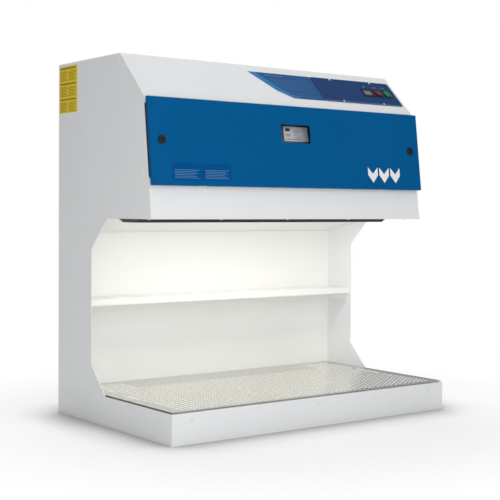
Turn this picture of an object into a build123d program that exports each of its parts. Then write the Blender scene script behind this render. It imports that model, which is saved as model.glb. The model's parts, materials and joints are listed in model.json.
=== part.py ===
from build123d import *
import os
from math import atan2, cos, hypot, radians, sin, tan

# Ductless downflow workstation. Millimetres, +Z up, front towards -Y.
# The origin is the centre of the footprint, at bench level.

# Overall form, seen from the side
width = 1220.0
depth = 770.0
height = 1276.0
base_height = 102.0
head_height = 558.0
head_setback = 130.0
brow_drop = 152.0
brow_setback = 179.0
hood_lip = 22.0
crown_setback = 330.0
mouth_inset = 248.0
soffit_cut = 105.0
sill_cut = 100.0
ceiling_flat_end = 417.0
plenum_depth = 108.0
ceiling_fall = 54.0

# Sheet thicknesses
side_sheet = 3.0
sheet = 1.5
cover_sheet = 1.5
rail_sheet = 2.0

# Flanges and small clearances
flange = 25.0
face_flange = 30.0
soffit_return = 85.0
ceiling_lap = 50.0
seat_gap = 0.3
slide_gap = 1.0
lap_gap = 0.075
rear_clearance = 6.0
cut_depth = 6.0

# Base, tray and pre-filter
pan_flange = 20.0
base_lip = 15.0
rail_drop = 40.0
rail_leg = 30.0
tray_edge = 6.0
tray_inset = 4.0
hole_across = 30.0
hole_pitch = 76.0
hole_field_start = 80.0
hole_side_margin = 110.0
hole_rear_margin = 190.0
finger_slot_length = 145.0
finger_slot_width = 22.0
finger_slot_inset = 55.0
finger_slot_y = 352.0
prefilter_thick = 24.0
prefilter_edge = 3.0

# Shelf
shelf_height = 429.5
shelf_depth = 131.0
shelf_lip = 22.5
shelf_tab = 50.0

# Opening for the main filter, in the leaning face
opening_side = 28.0
opening_low = 149.0
opening_high = 380.0

# Main filter and its rails, on a slope that falls to the rear
filter_tilt = radians(11.5)
rail_start = 188.0
rail_rise = 142.0
rail_width = 50.0
rail_upstand = 22.0
rail_front_gap = 1.8
filter_side = 35.0
filter_allowance = 210.0
filter_height = 205.0
filter_wall = 2.0
filter_lip = 14.0
ledge_lap = 20.0
brace_setback = 355.0
brace_drop = 24.0
brace_width = 40.0
label_width = 112.0
label_height = 54.0
label_low = 132.0
label_x = 34.0
label_thick = 0.8

# Fan deck and fan
deck_start = 214.0
deck_rise = 384.0
deck_front_gap = 3.6
fan_setback = 285.0
throat_radius = 80.0
ring_lift = 20.0
ring_sheet = 2.0
running_gap = 2.0
impeller_radius = 122.0
shroud_low = 16.0
impeller_top = 92.0
disc = 2.5
blade_count = 7
blade_thick = 3.0
blade_inner = 88.0
hub_radius = 26.0
hub_depth = 20.0
sweep_back = radians(30.0)
shaft_radius = 6.0
shaft_clearance = 0.06
motor_radius = 48.0
motor_low = 99.0
motor_high = 150.0
bracket_half = 142.0
bracket_foot = 22.0
bracket_width = 60.0
bracket_sheet = 3.0

# Door over the filter opening, hinged along its lower edge
door_low = 110.0
door_high = 402.0
door_proud = 22.0
door_fold = 11.0
hinge_height = 116.0
hinge_out = 11.0
hinge_pin_radius = 2.5
hinge_clearance = 0.06
hinge_knuckle = 5.0
hinge_lug = 14.0
hinge_ear = 4.0
hinge_side_gap = 0.4
hinge_leaf = 2.0
hinge_leaf_width = 34.0
hinge_inset = 200.0
gasket_width = 10.0
gasket_low = 133.0
gasket_high = 387.0
window_width = 132.0
window_height = 64.0
window_x = 3.0
window_low = 271.0
window_corner = 4.0
pane_thick = 2.0
pane_lap = 9.0

# Quarter-turn locks on the door
lock_inset = 46.0
lock_height = 260.0
lock_head_radius = 15.0
lock_head = 3.0
lock_barrel_radius = 9.0
lock_barrel_end = 1.5
lock_plug_radius = 6.0
lock_clearance = 0.06
cam_reach = 32.0
cam_width = 14.0
cam_thick = 2.0
cam_depth = -4.8
key_slot_width = 2.0
key_slot_length = 7.0

# Lamp under the head
lamp_front = 276.0
lamp_side = 36.0
lamp_depth = 126.0
lamp_drop = 13.0
lamp_sheet = 1.5
strip_width = 24.0
strip_thick = 4.0
strip_spacing = 52.0

# Controls on the slope
panel_side = 13.0
panel_width = 402.0
panel_low = 45.0
panel_high = 180.0
panel_thick = 1.5
panel_corner = 10.0
overlay_thick = 0.6
overlay_reach = 288.0
overlay_shoulder_reach = 205.0
overlay_foot_reach = 145.0
overlay_bend = 82.5
display_inset = 145.0
display_width = 56.0
display_depth = 14.0
screen_inset = 7.0
screen_sunk = 2.5
switch_row = 113.0
switch_length = 42.0
red_inset = 91.0
red_width = 36.0
green_inset = 44.5
green_width = 33.0
bezel_rim = 2.5
bezel_wall = 3.5
switch_depth = 26.0
rocker_gap = 0.5
rocker_crown = 7.0
rocker_dip = 5.0
rocker_foot = 3.0
pocket_depth = 8.0
rocker_swing = radians(9.0)

# Exhaust slots in the top cover
exhaust_slots = 18
exhaust_pitch = 26.0
exhaust_slot_width = 9.0
exhaust_front_margin = 120.0
exhaust_rear_margin = 140.0

# Electrics box and power inlet
electrics_half = 60.0
electrics_inset = 70.0
electrics_depth = 130.0
electrics_height = 85.0
electrics_setback = 140.0
inlet_inset = 130.0
inlet_drop = 96.0
inlet_width = 48.0
inlet_tall = 28.0
inlet_flange = 2.0
inlet_body_width = 28.0
inlet_body_tall = 20.0
inlet_body = 26.0
inlet_wall = 2.0
inlet_depth = 20.0
pin_length = 12.0
pin_width = 2.0
pin_tall = 4.0
pin_spacing = 7.0

# Screw heads, with the places of their rows
screw_across = 8.0
screw_head = 2.5
screw_faces = 6
base_row_low = 10.0
base_row_high = 76.0
base_row_front = (6.0, 81.0, 298.0)
base_row_rear = (254.0, 39.0)
back_column_inset = 95.0
back_column_rises = (15.0, 185.0)
back_column_drops = (262.0, 93.0)
shelf_screw_drop = 39.0
shelf_screw_front = 18.0
shelf_screw_rear = 6.0
soffit_screw_rise = 18.0
soffit_screw_places = (177.0, 234.0, 345.0, 406.0)
ceiling_screw_front = (60.0, 2.5)
ceiling_screw_rear = (34.0, 21.5)
face_screw_inset = 15.0
face_screw_rises = (39.0, 150.0, 260.0, 368.0)
hood_screws = ((215.0, 25.0), (305.0, 111.0), (339.0, 134.0))
inner_row_count = 4
rail_row_allowance = 234.0
rail_row_lift = 9.5
deck_row_allowance = 257.0
deck_row_lift = 12.0
brace_screw_drop = 12.5
front_screw_margin = 77.0
front_screw_count = 5
under_screw_setback = 185.0
under_screw_margin = 26.0
under_screw_count = 5
top_screw_setback = 345.0
top_screw_margin = 20.0
top_screw_count = 6
rear_screw_margin = 30.0
rear_screw_low = 60.0
rear_screw_middle = 63.0
rear_screw_high = 26.0
rear_screw_count = 5
panel_screw_left = 98.0
panel_screw_right = 99.0
panel_screw_inset = 6.0

# Worked-out sizes
front = -depth / 2
rear = depth / 2
half_width = width / 2
inner_half = half_width - side_sheet
head_bottom = height - head_height
brow_height = height - brow_drop
mouth_depth = depth - mouth_inset
back_wall_setback = depth - plenum_depth
back_wall_top = head_bottom - ceiling_fall
hole_columns = int((width - 2 * hole_side_margin) / hole_pitch) + 1
hole_rows = int((back_wall_setback - hole_field_start - hole_rear_margin) / hole_pitch) + 1
finger_slot_x = half_width - finger_slot_inset
shelf_front = back_wall_setback - shelf_depth
opening_half = half_width - opening_side
rail_height = head_bottom + rail_rise
deck_height = head_bottom + deck_rise
filter_half = half_width - filter_side
filter_depth = depth - filter_allowance
hinge_offset = half_width - hinge_inset
lock_x = half_width - lock_inset
lamp_top_half = half_width - lamp_side
panel_right = half_width - panel_side
panel_left = panel_right - panel_width
overlay_tip = panel_left - overlay_reach
overlay_shoulder = panel_left - overlay_shoulder_reach
overlay_foot = panel_left - overlay_foot_reach
display_x = panel_right - display_inset
red_x = panel_right - red_inset
green_x = panel_right - green_inset
electrics_x = half_width - electrics_inset
inlet_x = half_width - inlet_inset
inlet_height = height - inlet_drop
exhaust_slot_length = depth - crown_setback - exhaust_front_margin - exhaust_rear_margin
exhaust_setback = crown_setback + exhaust_front_margin + exhaust_slot_length / 2
crown_height = height - cover_sheet
rear_face = rear - cover_sheet
face_lean = atan2(brow_setback - head_setback, brow_height - head_bottom)
face_length = hypot(brow_setback - head_setback, brow_height - head_bottom)
slope_rise = atan2(crown_height - brow_height, crown_setback - brow_setback)

# The leaning face: X across, Y up the face, Z out of it
face_plane = Plane(
    origin=(0, front + head_setback, head_bottom),
    x_dir=(1, 0, 0),
    z_dir=(0, -cos(face_lean), sin(face_lean)),
)

# The control slope: X across, Y up the slope, Z out of it
slope_plane = Plane(
    origin=(0, front + brow_setback, brow_height),
    x_dir=(1, 0, 0),
    z_dir=(0, -sin(slope_rise), cos(slope_rise)),
)

# The filter's seat and the fan deck: X across, Y down to the rear, Z up through the filter
rail_plane = Plane(
    origin=(0, front + rail_start, rail_height),
    x_dir=(1, 0, 0),
    z_dir=(0, sin(filter_tilt), cos(filter_tilt)),
)
deck_plane = Plane(
    origin=(0, front + deck_start, deck_height),
    x_dir=(1, 0, 0),
    z_dir=(0, sin(filter_tilt), cos(filter_tilt)),
)
rail_end = (rear_face - side_sheet - front - rail_start) / cos(filter_tilt) - rear_clearance
deck_end = (rear_face - side_sheet - front - deck_start) / cos(filter_tilt) - rear_clearance


def face_y(z):
    """Y of the leaning face at height z."""
    return front + head_setback + (z - head_bottom) * tan(face_lean)


def bent_section(points, thickness, side):
    """Section of a bent sheet in the YZ plane, thickened to one side of its outer line."""
    with BuildSketch(Plane.YZ) as section:
        with BuildLine():
            Polyline(*points)
            offset(amount=thickness, side=side, kind=Kind.INTERSECTION)
        make_face()
    return section.sketch


def save(piece, name):
    """Label a finished piece and write its file."""
    piece.part.label = name
    export_step(piece.part, f"parts/{name}.step")


os.makedirs("parts", exist_ok=True)


# Side panels: one plate with the deep mouth cut out of it, folded in at the rear and the top
side_outline = (
    (front, 0),
    (rear_face, 0),
    (rear_face, crown_height),
    (front + crown_setback, crown_height),
    (front + brow_setback, brow_height),
    (front + head_setback, head_bottom),
    (front + mouth_depth - soffit_cut, head_bottom),
    (front + mouth_depth, head_bottom - soffit_cut),
    (front + mouth_depth, base_height + sill_cut),
    (front + mouth_depth - sill_cut, base_height),
    (front, base_height),
)
with BuildPart() as side_panel_right:
    with BuildSketch(Plane.YZ.offset(inner_half)):
        with BuildLine():
            Polyline(*side_outline, close=True)
        make_face()
    extrude(amount=side_sheet)
    with BuildSketch(Plane.XY.offset(base_height)):
        with Locations((inner_half, rear_face)):
            Rectangle(flange, side_sheet, align=(Align.MAX, Align.MAX))
    extrude(amount=crown_height - base_height)
    with BuildSketch(Plane.XY.offset(crown_height)):
        with Locations((inner_half, front + crown_setback + flange)):
            Rectangle(
                flange,
                rear_face - front - crown_setback - flange,
                align=(Align.MAX, Align.MIN),
            )
    extrude(amount=-side_sheet)
save(side_panel_right, "side_panel_right")

with BuildPart() as side_panel_left:
    mirror(side_panel_right.part, about=Plane.YZ)
save(side_panel_left, "side_panel_left")


# Base pan: the floor of the plenum, with upturned edges
with BuildPart() as base_pan:
    with BuildSketch():
        with Locations((0, front + sheet)):
            Rectangle(
                2 * inner_half,
                rear_face - front - sheet,
                align=(Align.CENTER, Align.MIN),
            )
    extrude(amount=pan_flange)
    offset(amount=-sheet, openings=base_pan.faces().sort_by(Axis.Z)[-1])
save(base_pan, "base_pan")

# Base front: the low apron, with a lip folded back under the tray
with BuildPart() as base_front:
    extrude(
        bent_section(
            ((front, 0), (front, base_height), (front + base_lip, base_height)),
            sheet,
            Side.RIGHT,
        ),
        amount=inner_half,
        both=True,
    )
save(base_front, "base_front")


# Tray rails: channels whose upper leg carries the tray and whose lower leg carries the pre-filter
tray_rail_start = front + base_lip + slide_gap
tray_rail_end = front + back_wall_setback - flange
with BuildPart() as tray_rail_right:
    with BuildSketch(Plane.XZ.offset(-tray_rail_end)):
        with BuildLine():
            Polyline(
                (inner_half - rail_leg, base_height),
                (inner_half, base_height),
                (inner_half, base_height - rail_drop),
                (inner_half - rail_leg, base_height - rail_drop),
            )
            offset(amount=sheet, side=Side.RIGHT, kind=Kind.INTERSECTION)
        make_face()
    extrude(amount=tray_rail_end - tray_rail_start)
save(tray_rail_right, "tray_rail_right")

with BuildPart() as tray_rail_left:
    mirror(tray_rail_right.part, about=Plane.YZ)
save(tray_rail_left, "tray_rail_left")


# Work surface: a perforated tray with downturned edges and two finger slots
tray_half = inner_half - 2 * slide_gap
tray_front = front + tray_inset
tray_rear = front + back_wall_setback - 2 * slide_gap
tray_top = base_height + tray_edge
hole_centre_y = front + hole_field_start + hole_pitch * (hole_rows - 1) / 2
with BuildPart() as work_surface:
    with BuildSketch(Plane.XY.offset(base_height)):
        with Locations((0, tray_front)):
            Rectangle(2 * tray_half, tray_rear - tray_front, align=(Align.CENTER, Align.MIN))
    extrude(amount=tray_edge)
    offset(amount=-sheet, openings=work_surface.faces().sort_by(Axis.Z)[0])
    with BuildSketch(Plane.XY.offset(tray_top)):
        with Locations((0, hole_centre_y)):
            with GridLocations(hole_pitch, hole_pitch, hole_columns, hole_rows):
                RegularPolygon(radius=hole_across / 2, side_count=6)
        with Locations((finger_slot_x, front + finger_slot_y), (-finger_slot_x, front + finger_slot_y)):
            SlotOverall(finger_slot_length, finger_slot_width, rotation=90)
    extrude(amount=-sheet, mode=Mode.SUBTRACT)
save(work_surface, "work_surface")


# Pre-filter pad under the tray, on the lower legs of the rails
with BuildPart() as prefilter:
    with BuildSketch(Plane.XY.offset(base_height - rail_drop + sheet)):
        with Locations((0, tray_rail_start + prefilter_edge)):
            Rectangle(
                2 * (inner_half - sheet - prefilter_edge),
                tray_rail_end - tray_rail_start - 2 * prefilter_edge,
                align=(Align.CENTER, Align.MIN),
            )
    extrude(amount=prefilter_thick)
save(prefilter, "prefilter")


# Back wall: the liner behind the work zone, its foot folded forward under the tray
with BuildPart() as back_wall:
    extrude(
        bent_section(
            (
                (tray_rail_end + slide_gap, base_height),
                (front + back_wall_setback, base_height),
                (front + back_wall_setback, back_wall_top),
            ),
            sheet,
            Side.RIGHT,
        ),
        amount=inner_half,
        both=True,
    )
    with BuildSketch(Plane.XY.offset(base_height)):
        with GridLocations(2 * inner_half - sheet, 0, 2, 1):
            with Locations((0, front + back_wall_setback + sheet)):
                Rectangle(sheet, flange, align=(Align.CENTER, Align.MIN))
    extrude(amount=back_wall_top - base_height - flange)
save(back_wall, "back_wall")


# Ceiling of the work zone: flat, then falling to the back wall, with upturned sides
ceiling_level = head_bottom + sheet
ceiling_points = (
    (front + head_setback + soffit_return - ceiling_lap, ceiling_level),
    (front + ceiling_flat_end, ceiling_level),
    (front + back_wall_setback + sheet, back_wall_top + seat_gap),
)
with BuildPart() as ceiling_panel:
    extrude(bent_section(ceiling_points, sheet, Side.LEFT), amount=inner_half, both=True)
    with BuildSketch(Plane.YZ.offset(inner_half)) as ceiling_side:
        with BuildLine():
            Polyline(
                *ceiling_points,
                (ceiling_points[2][0], ceiling_points[2][1] + flange),
                (ceiling_points[1][0], ceiling_points[1][1] + flange),
                (ceiling_points[0][0], ceiling_points[0][1] + flange),
                close=True,
            )
        make_face()
    extrude(amount=-sheet)
    mirror(about=Plane.YZ)
save(ceiling_panel, "ceiling_panel")


# Head front: the leaning face with the filter opening, folded back at its foot and sides
with BuildPart() as head_front:
    extrude(
        bent_section(
            (
                (face_y(head_bottom) + soffit_return, head_bottom),
                (face_y(head_bottom), head_bottom),
                (face_y(brow_height), brow_height),
            ),
            sheet,
            Side.RIGHT,
        ),
        amount=inner_half,
        both=True,
    )
    with BuildSketch(face_plane):
        with Locations((0, opening_low)):
            Rectangle(2 * opening_half, opening_high - opening_low, align=(Align.CENTER, Align.MIN))
    extrude(amount=-cut_depth, mode=Mode.SUBTRACT)
    with BuildSketch(face_plane.offset(-sheet)):
        with GridLocations(2 * inner_half - sheet, 0, 2, 1):
            with Locations((0, face_flange)):
                Rectangle(sheet, face_length - 2 * face_flange, align=(Align.CENTER, Align.MIN))
    extrude(amount=sheet - face_flange)
save(head_front, "head_front")


def control_cutouts(margin):
    """Sketch of the openings for the display and the two switches, on the slope."""
    with BuildSketch(slope_plane) as cutouts:
        with Locations((display_x, switch_row)):
            Rectangle(display_width - 2 * bezel_wall + margin, switch_length - 2 * bezel_wall + margin)
        with Locations((red_x, switch_row)):
            Rectangle(red_width - bezel_wall + margin, switch_length - bezel_wall + margin)
        with Locations((green_x, switch_row)):
            Rectangle(green_width - bezel_wall + margin, switch_length - bezel_wall + margin)
    return cutouts.sketch


# Hood panel: the control slope, lapped behind the face and folded flat under the top cover
hood_offset = sheet + lap_gap
hood_foot = face_plane.from_local_coords(Vector(0, face_length - hood_lip, 0))
with BuildPart() as hood_panel:
    extrude(
        bent_section(
            (
                (hood_foot.Y + hood_offset, hood_foot.Z),
                (front + brow_setback + hood_offset, brow_height),
                (front + crown_setback, crown_height),
                (front + crown_setback + flange - slide_gap, crown_height),
            ),
            sheet,
            Side.RIGHT,
        ),
        amount=inner_half,
        both=True,
    )
    extrude(control_cutouts(seat_gap), amount=-cut_depth, mode=Mode.SUBTRACT)
save(hood_panel, "hood_panel")


# Top cover: a flat lid with a bank of exhaust slots
with BuildPart() as top_cover:
    with BuildSketch(Plane.XY.offset(crown_height)):
        with Locations((0, front + crown_setback)):
            Rectangle(width, depth - crown_setback, align=(Align.CENTER, Align.MIN))
        with Locations((0, front + exhaust_setback)):
            with GridLocations(exhaust_pitch, 0, exhaust_slots, 1):
                Rectangle(exhaust_slot_width, exhaust_slot_length, mode=Mode.SUBTRACT)
    extrude(amount=cover_sheet)
save(top_cover, "top_cover")

# Rear panel: the flat outer back, with the cut-out for the power inlet
with BuildPart() as rear_panel:
    with BuildSketch(Plane.XZ.offset(-rear)):
        with Locations((0, sheet)):
            Rectangle(2 * inner_half, crown_height - sheet, align=(Align.CENTER, Align.MIN))
        with Locations((inlet_x, inlet_height)):
            Rectangle(
                inlet_body_width + 2 * seat_gap,
                inlet_body_tall + 2 * seat_gap,
                mode=Mode.SUBTRACT,
            )
    extrude(amount=cover_sheet)
save(rear_panel, "rear_panel")


# Shelf: a folded shelf with a front lip and two end tabs
shelf_rear = front + back_wall_setback
with BuildPart() as shelf:
    extrude(
        bent_section(
            (
                (front + shelf_front, shelf_height - shelf_lip),
                (front + shelf_front, shelf_height),
                (shelf_rear, shelf_height),
            ),
            sheet,
            Side.RIGHT,
        ),
        amount=inner_half,
        both=True,
    )
    with BuildSketch(Plane.XY.offset(shelf_height)):
        with GridLocations(2 * inner_half - sheet, 0, 2, 1):
            with Locations((0, front + shelf_front + sheet)):
                Rectangle(sheet, shelf_rear - front - shelf_front - sheet, align=(Align.CENTER, Align.MIN))
    extrude(amount=-shelf_tab)
save(shelf, "shelf")


# Filter seat: two side rails, a front ledge, a rear ledge and a cross brace
rail_slope_fit = cos(filter_tilt) + sin(filter_tilt) * tan(face_lean)
seat_front = (face_y(rail_height) - rail_plane.origin.Y) / rail_slope_fit
ledge_front = seat_front + rail_front_gap / rail_slope_fit
filter_start = seat_front + 2 * sheet
filter_end = filter_start + filter_depth
with BuildPart() as filter_rail_right:
    with BuildSketch(rail_plane):
        with Locations((inner_half, filter_start + face_flange)):
            Rectangle(rail_width, rail_end - filter_start - face_flange, align=(Align.MAX, Align.MIN))
    extrude(amount=-rail_sheet)
    with BuildSketch(rail_plane):
        with Locations((inner_half, filter_start + face_flange)):
            Rectangle(rail_sheet, rail_end - filter_start - face_flange, align=(Align.MAX, Align.MIN))
    extrude(amount=rail_upstand)
save(filter_rail_right, "filter_rail_right")

with BuildPart() as filter_rail_left:
    mirror(filter_rail_right.part, about=Plane.YZ)
save(filter_rail_left, "filter_rail_left")

ledge_points = [
    rail_plane.from_local_coords(Vector(0, filter_start + ledge_lap, 0)),
    rail_plane.from_local_coords(Vector(0, ledge_front, 0)),
]
ledge_foot = ledge_points[1] - face_plane.y_dir * ledge_lap
with BuildPart() as filter_front_ledge:
    extrude(
        bent_section(
            [(point.Y, point.Z) for point in (*ledge_points, ledge_foot)],
            sheet,
            Side.LEFT,
        ),
        amount=inner_half - 2 * slide_gap,
        both=True,
    )
save(filter_front_ledge, "filter_front_ledge")

rear_ledge_start = rail_plane.from_local_coords(Vector(0, filter_end - ledge_lap, 0))
rear_ledge_run = rear_face - rear_ledge_start.Y
rear_ledge_z = rear_ledge_start.Z - rear_ledge_run * tan(filter_tilt)
with BuildPart() as filter_rear_ledge:
    extrude(
        bent_section(
            (
                (rear_ledge_start.Y, rear_ledge_start.Z),
                (rear_face, rear_ledge_z),
                (rear_face, rear_ledge_z - ledge_lap),
            ),
            sheet,
            Side.RIGHT,
        ),
        amount=inner_half - rail_width - slide_gap,
        both=True,
    )
save(filter_rear_ledge, "filter_rear_ledge")

brace_run = (brace_setback - rail_start) / cos(filter_tilt)
with BuildPart() as filter_brace:
    with BuildSketch(rail_plane.offset(-rail_sheet)):
        with Locations((0, brace_run)):
            Rectangle(2 * inner_half, brace_width)
    extrude(amount=-brace_drop)
    with BuildSketch(rail_plane.offset(-rail_sheet - sheet)):
        with Locations((0, brace_run)):
            Rectangle(2 * inner_half, brace_width - 2 * sheet)
    extrude(amount=sheet - brace_drop, mode=Mode.SUBTRACT)
save(filter_brace, "filter_brace")


# Main filter: a lipped case round a block of media, with a label plate on its front
with BuildPart() as filter_case:
    with BuildSketch(rail_plane):
        with Locations((0, filter_start)):
            Rectangle(2 * filter_half, filter_depth, align=(Align.CENTER, Align.MIN))
    extrude(amount=filter_height)
    with BuildSketch(rail_plane.offset(filter_wall)):
        with Locations((0, filter_start + filter_wall)):
            Rectangle(
                2 * (filter_half - filter_wall),
                filter_depth - 2 * filter_wall,
                align=(Align.CENTER, Align.MIN),
            )
    extrude(amount=filter_height - 2 * filter_wall, mode=Mode.SUBTRACT)
    with BuildSketch(rail_plane):
        with Locations((0, filter_start + filter_lip)):
            Rectangle(
                2 * (filter_half - filter_lip),
                filter_depth - 2 * filter_lip,
                align=(Align.CENTER, Align.MIN),
            )
    extrude(amount=filter_height, mode=Mode.SUBTRACT)
save(filter_case, "filter_case")

with BuildPart() as filter_media:
    with BuildSketch(rail_plane.offset(filter_wall)):
        with Locations((0, filter_start + filter_wall)):
            Rectangle(
                2 * (filter_half - filter_wall),
                filter_depth - 2 * filter_wall,
                align=(Align.CENTER, Align.MIN),
            )
    extrude(amount=filter_height - 2 * filter_wall)
save(filter_media, "filter_media")

filter_face = Plane(
    origin=rail_plane.from_local_coords(Vector(0, filter_start, 0)),
    x_dir=(1, 0, 0),
    z_dir=(0, -cos(filter_tilt), sin(filter_tilt)),
)
with BuildPart() as filter_label:
    with BuildSketch(filter_face):
        with Locations((label_x, label_low)):
            Rectangle(label_width, label_height, align=(Align.CENTER, Align.MIN))
    extrude(amount=label_thick)
save(filter_label, "filter_label")


# Fan deck: a tilted partition with a round inlet, its sides turned up
deck_front = (face_y(deck_height) - deck_plane.origin.Y + deck_front_gap) / rail_slope_fit
deck_half = inner_half - rail_sheet
with BuildPart() as fan_deck:
    with BuildSketch(deck_plane):
        with Locations((0, deck_front)):
            Rectangle(2 * deck_half, deck_end - deck_front, align=(Align.CENTER, Align.MIN))
        with Locations((0, fan_setback)):
            Circle(throat_radius + flange / 2, mode=Mode.SUBTRACT)
    extrude(amount=-sheet)
    with BuildSketch(deck_plane.offset(-sheet)):
        with GridLocations(2 * inner_half - rail_sheet, 0, 2, 1):
            with Locations((0, deck_front + face_flange)):
                Rectangle(rail_sheet, deck_end - deck_front - face_flange, align=(Align.CENTER, Align.MIN))
    extrude(amount=rail_upstand)
save(fan_deck, "fan_deck")


# Fan plane: on the deck at the fan's centre, Z along its shaft; and a plane through the shaft
fan_plane = Plane(
    origin=deck_plane.from_local_coords(Vector(0, fan_setback, 0)),
    x_dir=(1, 0, 0),
    z_dir=deck_plane.z_dir,
)
shaft_section = Plane(origin=fan_plane.origin, x_dir=(1, 0, 0), z_dir=-fan_plane.y_dir)

# Inlet ring: a square flange on the deck, turned up into the throat
with BuildPart() as inlet_ring:
    with BuildSketch(fan_plane):
        Rectangle(2 * (throat_radius + flange), 2 * (throat_radius + flange))
    extrude(amount=ring_sheet)
    with BuildSketch(fan_plane):
        Circle(throat_radius + ring_sheet)
    extrude(amount=ring_lift)
    with BuildSketch(fan_plane):
        Circle(throat_radius)
    extrude(amount=ring_lift, mode=Mode.SUBTRACT)
save(inlet_ring, "inlet_ring")

# Impeller: backward-inclined blades between a front shroud and a back plate on a shaft
eye_radius = throat_radius + ring_sheet + running_gap
blade_low = shroud_low + disc
plate_low = impeller_top - disc
blade_tip = impeller_radius - blade_thick
with BuildPart() as impeller:
    with BuildSketch(fan_plane.offset(shroud_low)):
        Circle(impeller_radius)
        Circle(eye_radius, mode=Mode.SUBTRACT)
    extrude(amount=disc)
    with BuildSketch(mode=Mode.PRIVATE) as blade:
        with BuildLine():
            Line(
                (blade_inner, 0),
                (blade_tip * cos(sweep_back), -blade_tip * sin(sweep_back)),
            )
            offset(amount=blade_thick, side=Side.RIGHT, kind=Kind.INTERSECTION)
        make_face()
    with BuildSketch(fan_plane.offset(blade_low)):
        with PolarLocations(0, blade_count):
            add(blade.sketch)
    extrude(amount=plate_low - blade_low)
    with BuildSketch(fan_plane.offset(plate_low)):
        Circle(impeller_radius)
    extrude(amount=disc)
    with BuildSketch(fan_plane.offset(plate_low - hub_depth)):
        Circle(hub_radius)
    extrude(amount=hub_depth)
    with BuildSketch(fan_plane.offset(impeller_top)):
        Circle(shaft_radius)
    extrude(amount=(motor_high + motor_low) / 2 - impeller_top)
save(impeller, "impeller")

# Motor: a plain can with a blind bore round the shaft
with BuildPart() as fan_motor:
    with BuildSketch(fan_plane.offset(motor_low)):
        Circle(motor_radius)
    extrude(amount=motor_high - motor_low)
    with BuildSketch(fan_plane.offset(motor_low)):
        Circle(shaft_radius + shaft_clearance)
    extrude(amount=(motor_high - motor_low) / 2 + slide_gap, mode=Mode.SUBTRACT)
save(fan_motor, "fan_motor")

# Bracket: one folded strap that stands over the impeller and carries the motor
with BuildPart() as fan_bracket:
    with BuildSketch(shaft_section):
        with BuildLine():
            Polyline(
                (-bracket_half - bracket_foot, 0),
                (-bracket_half, 0),
                (-bracket_half, motor_high),
                (bracket_half, motor_high),
                (bracket_half, 0),
                (bracket_half + bracket_foot, 0),
            )
            offset(amount=bracket_sheet, side=Side.LEFT, kind=Kind.INTERSECTION)
        make_face()
    extrude(amount=bracket_width / 2, both=True)
save(fan_bracket, "fan_bracket")


# Electrics box on the deck, behind the controls
with BuildPart() as electrics_box:
    with BuildSketch(deck_plane):
        with Locations((electrics_x, electrics_setback)):
            Rectangle(2 * electrics_half, electrics_depth, align=(Align.CENTER, Align.MIN))
    extrude(amount=electrics_height)
save(electrics_box, "electrics_box")


# Power inlet: a flanged socket through the rear panel, with three blades inside
with BuildPart() as power_inlet:
    with BuildSketch(Plane.XZ.offset(-rear)):
        with Locations((inlet_x, inlet_height)):
            Rectangle(inlet_width, inlet_tall)
    extrude(amount=-inlet_flange)
    with BuildSketch(Plane.XZ.offset(-rear)):
        with Locations((inlet_x, inlet_height)):
            Rectangle(inlet_body_width, inlet_body_tall)
    extrude(amount=inlet_body)
    with BuildSketch(Plane.XZ.offset(-rear - inlet_flange)):
        with Locations((inlet_x, inlet_height)):
            Rectangle(inlet_body_width - 2 * inlet_wall, inlet_body_tall - 2 * inlet_wall)
    extrude(amount=inlet_depth, mode=Mode.SUBTRACT)
    with BuildSketch(Plane.XZ.offset(inlet_depth - rear - inlet_flange)):
        with Locations(
            (inlet_x - pin_spacing, inlet_height - pin_width),
            (inlet_x + pin_spacing, inlet_height - pin_width),
            (inlet_x, inlet_height + pin_width),
        ):
            Rectangle(pin_width, pin_tall)
    extrude(amount=-pin_length)
save(power_inlet, "power_inlet")


# Lamp: a shallow bevelled housing under the ceiling, two light strips and a diffuser
lamp_centre_y = front + lamp_front + lamp_depth / 2
with BuildPart() as lamp_housing:
    with BuildSketch(Plane.XY.offset(ceiling_level)):
        with Locations((0, lamp_centre_y)):
            Rectangle(2 * lamp_top_half, lamp_depth)
    with BuildSketch(Plane.XY.offset(head_bottom - lamp_drop)):
        with Locations((0, lamp_centre_y)):
            Rectangle(2 * (lamp_top_half - lamp_drop), lamp_depth - 2 * lamp_drop)
    loft()
    offset(amount=-lamp_sheet, openings=lamp_housing.faces().sort_by(Axis.Z)[0])
save(lamp_housing, "lamp_housing")

lamp_inner_half = lamp_top_half - lamp_drop - 2 * lamp_sheet
lamp_inner_depth = lamp_depth - 2 * lamp_drop - 4 * lamp_sheet
with BuildPart() as light_strips:
    with BuildSketch(Plane.XY.offset(ceiling_level - lamp_sheet)):
        with Locations((0, lamp_centre_y)):
            with GridLocations(0, strip_spacing, 1, 2):
                Rectangle(2 * lamp_inner_half - flange, strip_width)
    extrude(amount=-strip_thick)
save(light_strips, "light_strips")

with BuildPart() as lamp_diffuser:
    with BuildSketch(Plane.XY.offset(head_bottom - lamp_drop)):
        with Locations((0, lamp_centre_y)):
            Rectangle(2 * lamp_inner_half + lamp_sheet, lamp_inner_depth + lamp_sheet)
    extrude(amount=lamp_sheet)
save(lamp_diffuser, "lamp_diffuser")


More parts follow.
